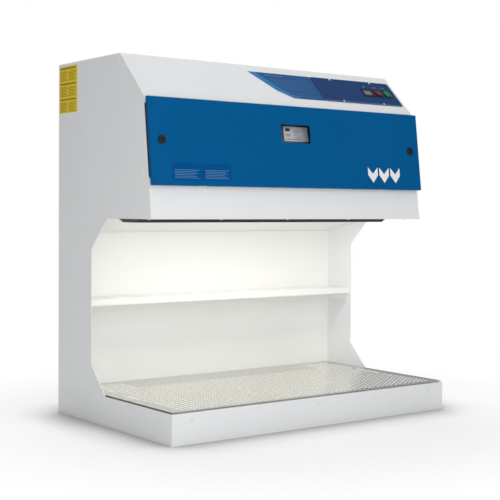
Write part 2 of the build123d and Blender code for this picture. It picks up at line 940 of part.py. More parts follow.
# Door: a shallow outer pan over a flat liner, with a soft gasket round the opening
door_back = door_proud - door_fold
with BuildPart() as door_panel:
    with BuildSketch(face_plane.offset(door_back)):
        with Locations((0, door_low)):
            Rectangle(width, door_high - door_low, align=(Align.CENTER, Align.MIN))
    extrude(amount=door_fold)
    offset(amount=-sheet, openings=door_panel.faces().sort_by(Axis(face_plane.origin, face_plane.z_dir))[0])
    with BuildSketch(face_plane.offset(door_proud)):
        with Locations((window_x, window_low)):
            RectangleRounded(
                window_width,
                window_height,
                window_corner,
                align=(Align.CENTER, Align.MIN),
            )
        with Locations((lock_x, lock_height), (-lock_x, lock_height)):
            Circle(lock_barrel_radius + lock_clearance)
    extrude(amount=-cut_depth, mode=Mode.SUBTRACT)
    with BuildSketch(face_plane.offset(door_back)):
        with GridLocations(2 * hinge_offset, 0, 2, 1):
            with Locations((0, door_low)):
                Rectangle(hinge_leaf_width + 2 * slide_gap, 2 * sheet, align=(Align.CENTER, Align.CENTER))
    extrude(amount=door_fold - sheet, mode=Mode.SUBTRACT)
save(door_panel, "door_panel")

with BuildPart() as door_liner:
    with BuildSketch(face_plane.offset(door_back)):
        with Locations((0, door_low + sheet)):
            Rectangle(
                width - 2 * sheet,
                door_high - door_low - 2 * sheet,
                align=(Align.CENTER, Align.MIN),
            )
        with Locations((window_x, window_low - pane_lap)):
            Rectangle(
                window_width + 2 * pane_lap,
                window_height + 2 * pane_lap,
                align=(Align.CENTER, Align.MIN),
                mode=Mode.SUBTRACT,
            )
        with Locations((lock_x, lock_height), (-lock_x, lock_height)):
            Circle(lock_barrel_radius + slide_gap, mode=Mode.SUBTRACT)
        with GridLocations(2 * hinge_offset, 0, 2, 1):
            with Locations((0, door_low)):
                Rectangle(
                    hinge_leaf_width + 2 * slide_gap,
                    2 * (gasket_low - door_low - slide_gap),
                    mode=Mode.SUBTRACT,
                )
    extrude(amount=sheet)
save(door_liner, "door_liner")

gasket_half = width / 2 - slide_gap
with BuildPart() as door_gasket:
    with BuildSketch(face_plane.offset(seat_gap)):
        with Locations((0, (gasket_low + gasket_high) / 2)):
            RectangleRounded(2 * gasket_half, gasket_high - gasket_low, gasket_width)
            Rectangle(
                2 * (gasket_half - gasket_width),
                gasket_high - gasket_low - 2 * gasket_width,
                mode=Mode.SUBTRACT,
            )
    extrude(amount=door_back - seat_gap)
save(door_gasket, "door_gasket")

with BuildPart() as door_window:
    with BuildSketch(face_plane.offset(door_proud - sheet)):
        with Locations((window_x, window_low - pane_lap + seat_gap)):
            Rectangle(
                window_width + 2 * pane_lap - 2 * seat_gap,
                window_height + 2 * pane_lap - 2 * seat_gap,
                align=(Align.CENTER, Align.MIN),
            )
    extrude(amount=-pane_thick)
save(door_window, "door_window")


# Door hinges: a lug fixed to the face between two ears fixed inside the door
hinge_leaf_length = gasket_low - hinge_height
hinge_places = (-hinge_offset, hinge_offset)


def hinge_profile(x):
    """Plane square to the hinge pin at x: X out of the face, Y up it."""
    origin = face_plane.from_local_coords(Vector(x, hinge_height, hinge_out))
    return Plane(origin=origin, x_dir=face_plane.z_dir, z_dir=(-1, 0, 0))


with BuildPart() as hinge_lugs:
    for hinge_x in hinge_places:
        with BuildSketch(hinge_profile(hinge_x)):
            Circle(hinge_knuckle)
            with Locations((-hinge_out, -hinge_knuckle)):
                Rectangle(hinge_out, 2 * hinge_knuckle, align=(Align.MIN, Align.MIN))
            Circle(hinge_pin_radius + hinge_clearance, mode=Mode.SUBTRACT)
        extrude(amount=hinge_lug / 2, both=True)
    with BuildSketch(face_plane):
        with Locations(*[(x, hinge_height - hinge_knuckle) for x in hinge_places]):
            Rectangle(
                hinge_leaf_width,
                hinge_leaf_length + hinge_knuckle - slide_gap,
                align=(Align.CENTER, Align.MIN),
            )
    extrude(amount=hinge_leaf)
save(hinge_lugs, "hinge_lugs")

ear_root = door_proud - sheet - hinge_out - hinge_leaf
ear_offset = (hinge_lug + hinge_ear) / 2 + hinge_side_gap
with BuildPart() as hinge_ears:
    for hinge_x in hinge_places:
        middle = hinge_profile(hinge_x)
        with BuildSketch(middle.offset(ear_offset), middle.offset(-ear_offset)):
            with Locations((ear_root, 0)):
                Rectangle(ear_root + hinge_knuckle, 2 * hinge_knuckle, align=(Align.MAX, Align.CENTER))
            Circle(hinge_pin_radius + hinge_clearance, mode=Mode.SUBTRACT)
        extrude(amount=hinge_ear / 2, both=True)
    with BuildSketch(face_plane.offset(door_proud - sheet)):
        with Locations(*[(x, hinge_height - hinge_knuckle + slide_gap) for x in hinge_places]):
            Rectangle(
                hinge_leaf_width,
                hinge_leaf_length + hinge_knuckle - 2 * slide_gap,
                align=(Align.CENTER, Align.MIN),
            )
    extrude(amount=-hinge_leaf)
save(hinge_ears, "hinge_ears")

with BuildPart() as hinge_pins:
    for hinge_x in hinge_places:
        with BuildSketch(hinge_profile(hinge_x)):
            Circle(hinge_pin_radius)
        extrude(amount=hinge_lug / 2 + hinge_side_gap + hinge_ear, both=True)
save(hinge_pins, "hinge_pins")


# Quarter-turn locks: headed barrels in the door, each round a turning plug with its cam
lock_places = [(-lock_x, lock_height), (lock_x, lock_height)]
with BuildPart() as lock_housings:
    with BuildSketch(face_plane.offset(door_proud)):
        with Locations(*lock_places):
            Circle(lock_head_radius)
    extrude(amount=lock_head)
    with BuildSketch(face_plane.offset(door_proud)):
        with Locations(*lock_places):
            Circle(lock_barrel_radius)
    extrude(amount=lock_barrel_end - door_proud)
    with BuildSketch(face_plane.offset(door_proud + lock_head)):
        with Locations(*lock_places):
            Circle(lock_plug_radius + lock_clearance)
    extrude(amount=-door_proud - lock_head, mode=Mode.SUBTRACT)
save(lock_housings, "lock_housings")

cam_top = cam_depth + cam_thick
plug_top = door_proud + lock_head - slide_gap
for lock_name, lock_at in (("left", lock_places[0]), ("right", lock_places[1])):
    with BuildPart() as lock_plug:
        with BuildSketch(face_plane.offset(cam_top)):
            with Locations(lock_at):
                Circle(lock_plug_radius)
        extrude(amount=plug_top - cam_top)
        with BuildSketch(face_plane.offset(plug_top)):
            with Locations(lock_at):
                Rectangle(key_slot_width, key_slot_length)
        extrude(amount=-lock_head, mode=Mode.SUBTRACT)
        with BuildSketch(face_plane.offset(cam_depth)):
            with Locations(lock_at):
                Circle(cam_width / 2)
                Rectangle(cam_width, cam_reach, align=(Align.CENTER, Align.MAX))
        extrude(amount=cam_thick)
    save(lock_plug, f"lock_plug_{lock_name}")


# Control panel: a thin plate on the slope with cut-outs for the display and switches
with BuildPart() as control_panel:
    with BuildSketch(slope_plane):
        with Locations((panel_left, panel_low)):
            RectangleRounded(
                panel_right - panel_left,
                panel_high - panel_low,
                panel_corner,
                align=(Align.MIN, Align.MIN),
            )
    extrude(amount=panel_thick)
    extrude(control_cutouts(seat_gap), amount=panel_thick, mode=Mode.SUBTRACT)
save(control_panel, "control_panel")

# Overlay: a printed film left of the control panel, with its slanting end
with BuildPart() as control_overlay:
    with BuildSketch(slope_plane):
        with BuildLine():
            Polyline(
                (overlay_tip, panel_high),
                (overlay_shoulder, overlay_bend),
                (overlay_foot, panel_low),
                (panel_left - seat_gap, panel_low),
                (panel_left - seat_gap, panel_high),
                close=True,
            )
        make_face()
    extrude(amount=overlay_thick)
save(control_overlay, "control_overlay")

# Display: a raised bezel round a flush screen
screen_width = display_width - 2 * screen_inset
screen_height = switch_length - 2 * screen_inset
with BuildPart() as display_bezel:
    with BuildSketch(slope_plane.offset(panel_thick)):
        with Locations((display_x, switch_row)):
            RectangleRounded(display_width, switch_length, bezel_wall)
    extrude(amount=bezel_rim)
    with BuildSketch(slope_plane.offset(panel_thick)):
        with Locations((display_x, switch_row)):
            Rectangle(display_width - 2 * bezel_wall, switch_length - 2 * bezel_wall)
    extrude(amount=-display_depth)
    with BuildSketch(slope_plane.offset(panel_thick + bezel_rim)):
        with Locations((display_x, switch_row)):
            Rectangle(screen_width, screen_height)
    extrude(amount=-bezel_rim - screen_sunk, mode=Mode.SUBTRACT)
save(display_bezel, "display_bezel")

with BuildPart() as display_screen:
    with BuildSketch(slope_plane.offset(panel_thick - screen_sunk)):
        with Locations((display_x, switch_row)):
            Rectangle(screen_width, screen_height)
    extrude(amount=screen_sunk)
save(display_screen, "display_screen")

# Rocker switches: a bezelled body with a deep pocket, and the rocker that tips in it
rocker_radius = switch_length / 2 - bezel_wall - rocker_gap
for switch_name, switch_x, switch_width in (
    ("red", red_x, red_width),
    ("green", green_x, green_width),
):
    pocket_width = switch_width - 2 * bezel_wall
    with BuildPart() as switch_body:
        with BuildSketch(slope_plane.offset(panel_thick)):
            with Locations((switch_x, switch_row)):
                Rectangle(switch_width, switch_length)
        extrude(amount=bezel_rim)
        with BuildSketch(slope_plane.offset(panel_thick)):
            with Locations((switch_x, switch_row)):
                Rectangle(switch_width - bezel_wall, switch_length - bezel_wall)
        extrude(amount=-switch_depth)
        with BuildSketch(slope_plane.offset(panel_thick + bezel_rim)):
            with Locations((switch_x, switch_row)):
                Rectangle(pocket_width, switch_length - 2 * bezel_wall)
        extrude(amount=-pocket_depth - panel_thick - bezel_rim, mode=Mode.SUBTRACT)
    save(switch_body, f"switch_body_{switch_name}")

    pivot = slope_plane.from_local_coords(Vector(switch_x, switch_row, 0))
    rocker_plane = Plane(
        origin=pivot,
        x_dir=(0, cos(slope_rise - rocker_swing), sin(slope_rise - rocker_swing)),
        z_dir=(1, 0, 0),
    )
    crown_x = (rocker_radius**2 - rocker_crown**2) ** 0.5
    foot_x = (rocker_radius**2 - rocker_foot**2) ** 0.5
    with BuildPart() as rocker:
        with BuildSketch(rocker_plane):
            with BuildLine():
                Polyline((crown_x, rocker_crown), (0, rocker_dip), (-crown_x, rocker_crown))
                RadiusArc((-crown_x, rocker_crown), (-foot_x, -rocker_foot), -rocker_radius)
                Line((-foot_x, -rocker_foot), (foot_x, -rocker_foot))
                RadiusArc((foot_x, -rocker_foot), (crown_x, rocker_crown), -rocker_radius)
            make_face()
        extrude(amount=pocket_width / 2 - rocker_gap, both=True)
    save(rocker, f"rocker_{switch_name}")


def even_spacing(margin, count):
    """Spacing of a row of screws across the cabinet, with its end screws a margin in."""
    return (width - 2 * margin) / (count - 1)


def sloped_row(start_y, start_z, span):
    """Places of an inner row of screws that falls to the rear with the filter."""
    step = span / (inner_row_count - 1)
    return [
        (front + start_y + step * index, start_z - step * index * tan(filter_tilt))
        for index in range(inner_row_count)
    ]


# Screw heads on both side panels
base_row_places = [*base_row_front, *[depth - inset for inset in base_row_rear]]
back_column_heights = [
    *[base_height + rise for rise in back_column_rises],
    *[head_bottom - drop for drop in back_column_drops],
]
shelf_screw_places = (shelf_front + shelf_screw_front, back_wall_setback - shelf_screw_rear)
ceiling_screws = (
    (ceiling_flat_end + ceiling_screw_front[0], head_bottom - ceiling_screw_front[1]),
    (back_wall_setback - ceiling_screw_rear[0], back_wall_top + ceiling_screw_rear[1]),
)
brace_height = rail_height - (brace_setback - rail_start) * tan(filter_tilt)
side_rows = [
    *[(front + y, z) for z in (base_row_low, base_row_high) for y in base_row_places],
    *[(rear - back_column_inset, z) for z in back_column_heights],
    *[(front + y, shelf_height - shelf_screw_drop) for y in shelf_screw_places],
    *[(front + y, head_bottom + soffit_screw_rise) for y in soffit_screw_places],
    *[(front + y, z) for y, z in ceiling_screws],
    *[(front + y, brow_height + rise) for y, rise in hood_screws],
    *[(face_y(head_bottom + rise) + face_screw_inset, head_bottom + rise) for rise in face_screw_rises],
    *sloped_row(rail_start, rail_height + rail_row_lift, depth - rail_row_allowance),
    *sloped_row(deck_start, deck_height + deck_row_lift, depth - deck_row_allowance),
    (front + brace_setback, brace_height - brace_screw_drop),
]
head_radius = screw_across / 2
with BuildPart() as side_screws:
    with BuildSketch(Plane.YZ.offset(width / 2)):
        with Locations(*side_rows):
            RegularPolygon(radius=head_radius, side_count=screw_faces)
    extrude(amount=screw_head)
    mirror(about=Plane.YZ)
save(side_screws, "side_screws")

# Screw heads on the apron, under the head, on the top and on the rear
with BuildPart() as cabinet_screws:
    with BuildSketch(Plane.XZ.offset(-front)):
        with Locations((0, base_row_high)):
            with GridLocations(even_spacing(front_screw_margin, front_screw_count), 0, front_screw_count, 1):
                RegularPolygon(radius=head_radius, side_count=screw_faces)
    extrude(amount=screw_head)
    with BuildSketch(Plane.XY.offset(head_bottom)):
        with Locations((0, front + under_screw_setback)):
            with GridLocations(even_spacing(under_screw_margin, under_screw_count), 0, under_screw_count, 1):
                RegularPolygon(radius=head_radius, side_count=screw_faces)
    extrude(amount=-screw_head)
    with BuildSketch(Plane.XY.offset(height)):
        with Locations((0, front + top_screw_setback)):
            with GridLocations(even_spacing(top_screw_margin, top_screw_count), 0, top_screw_count, 1):
                RegularPolygon(radius=head_radius, side_count=screw_faces)
    extrude(amount=screw_head)
    with BuildSketch(Plane.XZ.offset(-rear)):
        for row in (rear_screw_low, head_bottom - rear_screw_middle, height - rear_screw_high):
            with Locations((0, row)):
                with GridLocations(even_spacing(rear_screw_margin, rear_screw_count), 0, rear_screw_count, 1):
                    RegularPolygon(radius=head_radius, side_count=screw_faces)
    extrude(amount=-screw_head)
save(cabinet_screws, "cabinet_screws")

# Screw heads on the control panel
with BuildPart() as panel_screws:
    with BuildSketch(slope_plane.offset(panel_thick)):
        for column in (panel_left + panel_screw_left, panel_right - panel_screw_right):
            with Locations((column, panel_low + panel_screw_inset), (column, panel_high - panel_screw_inset)):
                RegularPolygon(radius=head_radius, side_count=screw_faces)
    extrude(amount=screw_head / 2)
save(panel_screws, "panel_screws")
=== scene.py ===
import json
from math import cos, pi, radians, sin

import bmesh
import bpy
from mathutils import Matrix, Vector
from mathutils.geometry import delaunay_2d_cdt


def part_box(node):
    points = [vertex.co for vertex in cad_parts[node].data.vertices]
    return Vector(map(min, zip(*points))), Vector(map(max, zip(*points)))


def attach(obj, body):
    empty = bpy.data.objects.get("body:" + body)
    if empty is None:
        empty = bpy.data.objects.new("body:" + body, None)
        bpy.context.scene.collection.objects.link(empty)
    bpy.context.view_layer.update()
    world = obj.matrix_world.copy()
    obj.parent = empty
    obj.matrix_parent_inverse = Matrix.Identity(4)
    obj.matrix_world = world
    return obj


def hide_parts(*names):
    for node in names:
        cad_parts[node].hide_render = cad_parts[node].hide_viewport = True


# Ductless downflow workstation: materials, detail pieces, light and camera.
# Metres, +Z up, front towards -Y, as in the frame.

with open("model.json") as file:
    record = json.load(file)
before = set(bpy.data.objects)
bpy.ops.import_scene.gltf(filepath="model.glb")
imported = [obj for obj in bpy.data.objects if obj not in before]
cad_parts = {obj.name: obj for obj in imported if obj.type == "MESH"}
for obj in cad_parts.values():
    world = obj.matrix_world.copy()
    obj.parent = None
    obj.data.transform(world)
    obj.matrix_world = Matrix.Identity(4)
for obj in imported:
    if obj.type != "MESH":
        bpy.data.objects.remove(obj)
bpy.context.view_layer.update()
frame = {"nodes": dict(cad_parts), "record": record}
nodes = frame["nodes"]

# Main sizes, read from the frame
SIDE_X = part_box("side_panel_right")[1].x
APRON_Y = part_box("base_front")[0].y
TRAY_LOW, TRAY_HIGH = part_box("work_surface")
HEAD_FOOT = Vector((0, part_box("head_front")[0].y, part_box("head_front")[0].z))

# The brow, where the leaning face meets the control slope, and the slope's top edge
BROW = Vector((0, -0.206, 1.124))
CROWN = Vector((0, -0.055, 1.2745))

# A point inside the cabinet: screw heads point away from it, and the main lights aim at it
CABINET_MIDDLE = Vector((0, 0, 0.65))

# How far faces with marks stand out: the door's over the leaning face, and the overlay's
# and the control panel's over the control slope
DOOR_PROUD = 0.022
OVERLAY_PROUD = 0.0006
PANEL_PROUD = 0.0015

# Tilt of the main filter, and how far its label's front lower edge is above the lowest corner
FILTER_TILT = radians(11.5)
LABEL_RISE = 0.00016

# Camera, fitted to the photograph
CAMERA_PLACE = Vector((-2.5842, -3.4183, 0.7584))
CAMERA_HEADING = 0.644
CAMERA_PITCH = -0.0239
CAMERA_ROLL = 0.0065
CAMERA_LENS = 82.69
CAMERA_SENSOR = 36.0
CAMERA_SHIFT = -0.03

# Tray: a grid of round holes, a blank field at the rear and two finger slots.
# Distances to the rear are measured from the apron's face.
SHEET = 0.0015
TRAY_FLANGE_INSET = 0.009
HOLE_PITCH = 0.0225
ROW_PITCH = 0.0168
HOLE_RADIUS = 0.0062
HOLE_SIDES = 12
HOLE_FIELD_X = 0.565
HOLE_FIELD_FRONT = 0.030
HOLE_FIELD_REAR = 0.634
BLANK_X = 0.420
BLANK_START = 0.505
SLOT_X = 0.555
SLOT_Y = 0.352
SLOT_HALF = 0.0615
SLOT_RADIUS = 0.011
SLOT_LAND = 0.003
SLOT_STEPS = 12

# Share of the pad's painted glow that is left under the finger slots, where it is dimmed as
# painted shade
SLOT_DIM = 0.125

# Swelling of the soft pad under the tray
PAD_GAP = 0.0006
PAD_CROWN_X = 0.5765
PAD_SHOULDER = 0.004
PAD_CORNER = 0.002

# Screw heads: sides of the turned head, and height of one on the control panel
SCREW_SIDES = 16
PANEL_SCREW_HEIGHT = 0.00125

# Plates and printed marks: thickness, and steps in a round corner
FILM = 0.0002
CORNER_STEPS = 4

# Arrows on the door: lowest and highest point above the bench, ends of the row across
ARROW_LOW = 0.854
ARROW_HIGH = 0.912
ARROWS_LEFT = 0.334
ARROWS_RIGHT = 0.505
ARROW_COUNT = 3
ARROW_GAP = 0.004
ARROW_SHOULDER = 0.030
ARROW_EDGE = 0.0025

# Patch on the door, in two halves with bars on them
PATCH_LOW = 0.846
PATCH_HIGH = 0.904
PATCH_LEFT = -0.531
PATCH_MIDDLE = -0.412
PATCH_RIGHT = -0.293
PATCH_SEAM = 0.001
PATCH_CORNER = 0.002
PATCH_MARGIN = 0.009
PATCH_SEAM_MARGIN = 0.012

# Sticker on the left side: distances behind the apron's face and heights
STICKER_FRONT = 0.630
STICKER_REAR = 0.764
STICKER_LOW = 1.097
STICKER_HIGH = 1.266
STICKER_CORNER = 0.003
STICKER_MARGIN = 0.006
STICKER_BLOCKS = 3

# Small bevel on sheet edges
EDGE_WIDTH = 0.0005
EDGE_ANGLE = radians(35)

# Points nearer than these are one: in a CAD mesh, and in the tray's triangulation
SAME_POINT = 1e-6
SAME_CUT = 1e-7

# Sizes of the features in the materials
CLOUD_SIZE = 0.22
SMUDGE_SIZE = 0.09
DRAWN_SIZE = 0.004
DRAWN_DEPTH = 0.00008
DUST_SIZE = 0.02
LENS_GRAIN = 0.003

# Levels of light: the lamps under the head, the world as a light, and the world in gloss
LAMP_LEVEL = 4.9
WORLD_LEVEL = 0.43
GLOSS_LEVEL = 0.42
WHITE = (1, 1, 1, 1)
GLOSS_TINT = (0.86, 0.93, 1.0, 1)

# Floor: its colour, what the camera sees on top of it, where it fades to white, and how far
# and how dark the shadow is where the cabinet stands
FLOOR_SIZE = 60
FLOOR_COLOUR = (0.8, 0.8, 0.8, 1)
FLOOR_LIFT = 0.24
FADE_START = 0.72
FADE_END = 1.35
CONTACT_REACH = 0.2
CONTACT_DARK = 0.42

# Area lights: name, place, target, width and height, watts
AREA_LIGHTS = (
    ("key", (0.1, -4.0, 2.4), CABINET_MIDDLE, (2.4, 2.0), 30),
    ("fill", (-3.2, -1.5, 0.4), (0.3, -0.1, 0.35), (1.4, 0.8), 8),
    ("top", (0.2, -0.4, 3.4), CABINET_MIDDLE, (2.6, 2.6), 18),
    ("mouth", (-1.9, -3.0, 0.5), (0.45, 0.2, 0.35), (1.4, 0.8), 26),
    ("back", (0.5, 2.4, 2.8), (0, -0.6, 0), (2.0, 1.4), 40),
)

# Painted, moulded and printed surfaces: colour on screen, roughness, size and depth of the
# grain, mottle, specks, and where they aren't the usual ones, mirror level and metal share
COATINGS = {
    "cabinet_paint": ((238, 239, 240), 0.42, 0.0016, 0.00012, 0.015, 0.05),
    "liner_paint": ((247, 247, 244), 0.38, 0.0016, 0.00008, 0.012, 0.03),
    "door_paint": ((0, 90, 147), 0.4, 0.0014, 0.00006, 0.04, 0.06, 0.03),
    "panel_film": ((34, 66, 114), 0.38, 0.0008, 0.00002, 0.04, 0.05, 0.06),
    "overlay_film": ((42, 90, 142), 0.38, 0.0008, 0.00002, 0.04, 0.05, 0.06),
    "black_plastic": ((30, 31, 33), 0.42, 0.0009, 0.00005, 0.08, 0.12),
    "red_plastic": ((104, 20, 24), 0.3, 0.003, 0.00002, 0.08, 0.1),
    "green_plastic": ((10, 132, 62), 0.3, 0.003, 0.00002, 0.08, 0.1),
    "screen": ((120, 125, 122), 0.18, 0.004, 0.00001, 0.05, 0.06, 0.5),
    "screw_steel": ((234, 235, 236), 0.3, 0.0008, 0.00002, 0.03, 0.06, 0.6, 0.1),
    "label_plate": ((196, 195, 198), 0.4, 0.0008, 0.00002, 0.06, 0.08, 0.4, 0.2),
    "lock_black": ((24, 25, 27), 0.46, 0.0009, 0.00004, 0.06, 0.1),
    "patch_blue": ((2, 78, 140), 0.38, 0.0012, 0.00002, 0.03, 0.05, 0.03),
    "sticker_yellow": ((236, 204, 20), 0.4, 0.0012, 0.00002, 0.03, 0.05),
    "mark_white": ((236, 240, 244), 0.4, 0.001, 0.00001, 0.01, 0.03),
    "mark_navy": ((4, 44, 92), 0.4, 0.001, 0.00001, 0.03, 0.05),
    "mark_sky": ((20, 120, 190), 0.35, 0.001, 0.00001, 0.03, 0.05),
    "mark_pale": ((120, 170, 205), 0.4, 0.001, 0.00001, 0.03, 0.05),
    "mark_faint": ((96, 148, 192), 0.4, 0.001, 0.00001, 0.03, 0.05),
    "mark_dim": ((76, 118, 164), 0.4, 0.001, 0.00001, 0.03, 0.05, 0.06),
    "print_black": ((44, 42, 34), 0.5, 0.001, 0.00001, 0.05, 0.08),
    "print_olive": ((128, 110, 22), 0.5, 0.001, 0.00001, 0.05, 0.08),
}

# Bare metals: colour on screen, roughness, stretch of the drawn grain, and where they aren't
# the usual ones, scratches and mottle
METALS = {
    "tray_steel": ((214, 212, 206), 0.25, (0.06, 1, 1), 0.12, 0.02),
    "zinc_steel": ((188, 192, 196), 0.36, (1, 1, 0.1)),
    "filter_steel": ((84, 85, 88), 0.45, (0.1, 1, 1)),
    "fan_aluminium": ((196, 198, 202), 0.35, (1, 1, 0.2)),
}

# Foams and fibres: colour on screen, size and depth of the cells, and a painted glow, light of
# their own though they are no lamp
FOAMS = {
    "gasket_foam": ((26, 26, 28), 0.0025, 0.0008),
    "filter_media": ((52, 52, 54), 0.004, 0.0015),
    # The pad's last value is its painted glow: light of its own that brightens the tray's holes
    "prefilter_media": ((238, 240, 238), 0.003, 0.0012, 1.0),
}

LENS_COLOUR = (255, 254, 249)

# CAD nodes whose edges get the small bevel, and the locks, which are blacker than the rest
BEVELLED = (
    "side_panel_left", "side_panel_right", "base_front", "head_front", "hood_panel",
    "top_cover", "rear_panel", "shelf", "door_panel", "lamp_housing", "display_bezel",
    "switch_body_red", "switch_body_green", "rocker_red", "rocker_green", "lock_housings",
    "control_panel", "power_inlet", "fan_bracket", "fan_motor",
)
LOCK_NODES = ("lock_plug_left", "lock_plug_right", "lock_housings")


# Shader nodes

def linear(red, green, blue):
    """A colour as it looks on screen, 0 to 255, in Blender's linear values with alpha."""
    return [((v / 255 + 0.055) / 1.055) ** 2.4 for v in (red, green, blue)] + [1.0]


def shade(colour, factor):
    """The same colour, darker or lighter."""
    return [min(1.0, v * factor) for v in colour[:3]] + [1.0]


def add_node(tree, kind, **settings):
    """A new shader node with its settings."""
    made = tree.nodes.new(kind)
    for name, value in settings.items():
        setattr(made, name, value)
    return made


def connect(tree, value, socket):
    """Feeds a socket from another socket, or sets it to a plain number or colour."""
    if isinstance(value, bpy.types.NodeSocket):
        tree.links.new(value, socket)
    else:
        socket.default_value = value


def calculate(tree, operation, *values):
    """The result of a maths operation on sockets or numbers."""
    made = add_node(tree, "ShaderNodeMath", operation=operation)
    for value, socket in zip(values, made.inputs):
        connect(tree, value, socket)
    return made.outputs[0]


def object_space(tree, stretch=(1, 1, 1)):
    """Coordinates in the object's own space, stretched for a direction such as brushing."""
    place = add_node(tree, "ShaderNodeTexCoord")
    mapping = add_node(tree, "ShaderNodeMapping")
    mapping.inputs["Scale"].default_value = stretch
    tree.links.new(place.outputs["Object"], mapping.inputs["Vector"])
    return mapping.outputs["Vector"]


def noise(tree, space, size, detail=2.0, rough=0.5):
    """Noise whose features are about size across, in metres."""
    made = add_node(tree, "ShaderNodeTexNoise")
    made.inputs["Scale"].default_value = 1 / size
    made.inputs["Detail"].default_value = detail
    made.inputs["Roughness"].default_value = rough
    tree.links.new(space, made.inputs["Vector"])
    return made.outputs["Fac"]


def spread(tree, value, low, high, start=0.3, end=0.7):
    """The value from start to end, mapped to low to high."""
    made = add_node(tree, "ShaderNodeMapRange")
    made.inputs["From Min"].default_value = start
    made.inputs["From Max"].default_value = end
    made.inputs["To Min"].default_value = low
    made.inputs["To Max"].default_value = high
    tree.links.new(value, made.inputs["Value"])
    return made.outputs["Result"]


def blend_colours(tree, factor, first, second):
    """Two colours, each a socket or plain, mixed by a factor."""
    made = add_node(tree, "ShaderNodeMix", data_type="RGBA")
    tree.links.new(factor, made.inputs["Factor"])
    for name, colour in (("A", first), ("B", second)):
        socket = [s for s in made.inputs if s.name == name and s.type == "RGBA"][0]
        connect(tree, colour, socket)
    return [s for s in made.outputs if s.type == "RGBA"][0]


def blend_values(tree, factor, first, second):
    """Two values, each a socket or a number, mixed by a factor."""
    made = add_node(tree, "ShaderNodeMix", data_type="FLOAT")
    tree.links.new(factor, made.inputs["Factor"])
    connect(tree, first, made.inputs["A"])
    connect(tree, second, made.inputs["B"])
    return made.outputs["Result"]


def bump(tree, height, depth, strength=1.0):
    """A normal from a height, depth in metres."""
    made = add_node(tree, "ShaderNodeBump")
    made.inputs["Distance"].default_value = depth
    made.inputs["Strength"].default_value = strength
    tree.links.new(height, made.inputs["Height"])
    return made.outputs["Normal"]


def emission(tree, strength):
    """White light of its own, as strong as a socket or a number says."""
    made = add_node(tree, "ShaderNodeEmission")
    connect(tree, strength, made.inputs["Strength"])
    return made.outputs[0]


def seen_rays(tree, path):
    """One for what the camera sees, straight or through glass, and zero for other rays."""
    straight, through = path.outputs["Is Camera Ray"], path.outputs["Is Transmission Ray"]
    return calculate(tree, "MAXIMUM", straight, through)


# Materials

def new_material(name):
    """A node material, its tree and its main shader."""
    made = bpy.data.materials.new(name)
    made.use_nodes = True
    return made, made.node_tree, made.node_tree.nodes["Principled BSDF"]


def coated(name, colour, rough, grain, depth, mottle, speck, mirror=0.3, metallic=0.0):
    """A painted, moulded or printed surface: fine grain, cloudy tone and uneven gloss."""
    made, tree, shader = new_material(name)
    space = object_space(tree)
    cloud = noise(tree, space, CLOUD_SIZE, 3.0)
    fine = noise(tree, space, grain, 2.0, 0.6)
    dark, light = shade(colour, 1 - mottle), shade(colour, 1 + mottle)
    toned = blend_colours(tree, spread(tree, cloud, 0, 1), dark, light)
    specks = blend_colours(tree, spread(tree, fine, 0, 1), shade(colour, 1 - speck), toned)
    tree.links.new(specks, shader.inputs["Base Color"])
    tree.links.new(spread(tree, fine, rough * 0.85, rough * 1.15), shader.inputs["Roughness"])
    tree.links.new(bump(tree, fine, depth), shader.inputs["Normal"])
    shader.inputs["Metallic"].default_value = metallic
    shader.inputs["Specular IOR Level"].default_value = mirror
    return made


def brushed(name, colour, rough, stretch, scratch=0.25, mottle=0.08):
    """Bare sheet metal: drawn grain along one direction, light scratches and smudges."""
    made, tree, shader = new_material(name)
    drawn = noise(tree, object_space(tree, stretch), DRAWN_SIZE, 4.0, 0.7)
    smudge = noise(tree, object_space(tree), SMUDGE_SIZE, 4.0, 0.55)
    dark, light = shade(colour, 1 - mottle), shade(colour, 1 + mottle / 2)
    toned = blend_colours(tree, spread(tree, smudge, 0, 1), dark, light)
    lined = blend_colours(tree, spread(tree, drawn, 0, scratch), toned, shade(colour, 0.75))
    tree.links.new(lined, shader.inputs["Base Color"])
    gloss = spread(tree, smudge, rough * (1 - 2 * mottle), rough * (1 + 2 * mottle))
    tree.links.new(gloss, shader.inputs["Roughness"])
    tree.links.new(bump(tree, drawn, DRAWN_DEPTH, 0.5), shader.inputs["Normal"])
    shader.inputs["Metallic"].default_value = 1.0
    return made


def slot_zone(tree, space):
    """One under the tray's finger slots, where the pad's painted glow is dimmed as painted
    shade, and zero elsewhere.
    """
    split = add_node(tree, "ShaderNodeSeparateXYZ")
    tree.links.new(space, split.inputs["Vector"])
    edge = SLOT_X - SLOT_RADIUS
    away = calculate(tree, "ABSOLUTE", split.outputs["X"])
    outer = spread(tree, away, 0, 1, edge - SLOT_LAND, edge)
    end = SLOT_HALF + SLOT_RADIUS
    along = calculate(tree, "SUBTRACT", split.outputs["Y"], APRON_Y + SLOT_Y)
    near = spread(tree, calculate(tree, "ABSOLUTE", along), 1, 0, end, end + SLOT_LAND)
    return calculate(tree, "MULTIPLY", outer, near)


